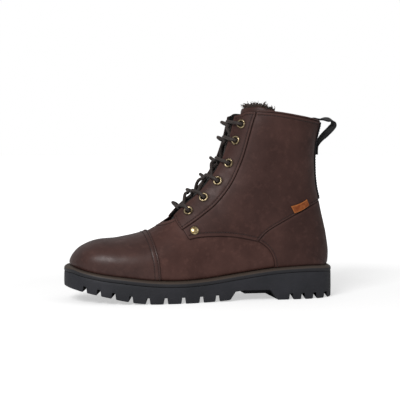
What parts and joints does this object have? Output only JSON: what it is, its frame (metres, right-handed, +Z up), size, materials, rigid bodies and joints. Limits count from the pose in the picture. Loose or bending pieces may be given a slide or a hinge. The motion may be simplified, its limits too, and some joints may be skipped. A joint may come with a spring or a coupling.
{
  "type": "lace-up winter boot",
  "caption": "Left ankle-high lace-up winter boot in dark brown leather with toe cap, brass eyelets, dark fleece lining, heel pull loop, side tag and lugged black rubber sole.",
  "frame": {"origin": "on the ground under the middle of the boot's bounding box", "axes": "+X towards the heel, -X towards the toe, -Y the outer (lateral) side, +Z up"},
  "size_m": [0.306, 0.105, 0.2162],
  "materials": {
    "rubber_sole": "matt moulded black rubber",
    "welt_rubber": "satin olive-brown welt strip",
    "brown_leather": "smooth waxed dark brown leather, semi-gloss",
    "tan_leather": "orange-tan leather with raw edges",
    "black_textile": "black woven textile",
    "fleece": "dark brown curly pile",
    "antique_brass": "antique brass, worn to bright on the edges",
    "spring_steel": "plain steel strip",
    "fibre_board": "tan cellulose insole board",
    "cork_filler": "cork and latex filler",
    "stiffener": "thermoplastic-soaked stiffener sheet",
    "lace_cord": "round waxed dark grey-brown cord",
    "aglet_plastic": "shrunk plastic tip",
    "black_webbing": "black woven webbing"
  },
  "bodies": {
    "boot": {"outsole": "rubber_sole", "welt": "welt_rubber", "midsole_filler": "cork_filler", "shank": "spring_steel", "insole_board": "fibre_board", "vamp": "brown_leather", "toe_cap": "brown_leather", "toe_puff": "stiffener", "heel_panel": "brown_leather", "heel_counter": "stiffener", "collar_binding": "brown_leather", "vamp_lining": "fleece", "quarter_lining": "fleece", "tongue": "black_textile", "tongue_lining": "fleece", "quarter_lateral": "brown_leather", "facing_lateral": "brown_leather", "facing_lining_lateral": "black_textile", "rivet_lateral": "antique_brass", "eyelet_lateral_1": "antique_brass", "eyelet_lateral_2": "antique_brass", "eyelet_lateral_3": "antique_brass", "eyelet_lateral_4": "antique_brass", "eyelet_lateral_5": "antique_brass", "eyelet_lateral_6": "antique_brass", "quarter_medial": "brown_leather", "facing_medial": "brown_leather", "facing_lining_medial": "black_textile", "rivet_medial": "antique_brass", "eyelet_medial_1": "antique_brass", "eyelet_medial_2": "antique_brass", "eyelet_medial_3": "antique_brass", "eyelet_medial_4": "antique_brass", "eyelet_medial_5": "antique_brass", "eyelet_medial_6": "antique_brass", "lace": "lace_cord", "aglet_1": "aglet_plastic", "aglet_2": "aglet_plastic", "backstay": "black_webbing", "loop_foot": "black_webbing", "loop_head": "black_webbing"},
    "tongue_top": {"tongue_top": "brown_leather", "tongue_top_lining": "fleece"},
    "pull_loop": {"pull_loop": "black_webbing"},
    "side_tag": {"side_tag": "tan_leather"},
    "footbed": {"footbed": "fleece"}
  },
  "joints": [
    {"name": "tongue_top_fold", "type": "hinge", "parent": "boot", "child": "tongue_top", "pos_m": [0.04462, 0.00071, 0.2044], "axis": [0, -1, 0], "range_deg": [0, 14]},
    {"name": "pull_loop_sway", "type": "hinge", "parent": "boot", "child": "pull_loop", "pos_m": [0.13308, 0.00071, 0.1714], "axis": [0.2256, 0, 0.9742], "range_deg": [-12, 12]},
    {"name": "side_tag_flip", "type": "hinge", "parent": "boot", "child": "side_tag", "pos_m": [0.09591, -0.03869, 0.09424], "axis": [0.8682, 0.264, 0.4201], "range_deg": [0, 60]},
    {"name": "footbed_lift", "type": "hinge", "parent": "boot", "child": "footbed", "pos_m": [-0.13342, 0.00071, 0.0367], "axis": [0, -1, 0], "range_deg": [0, 5]}
  ]
}
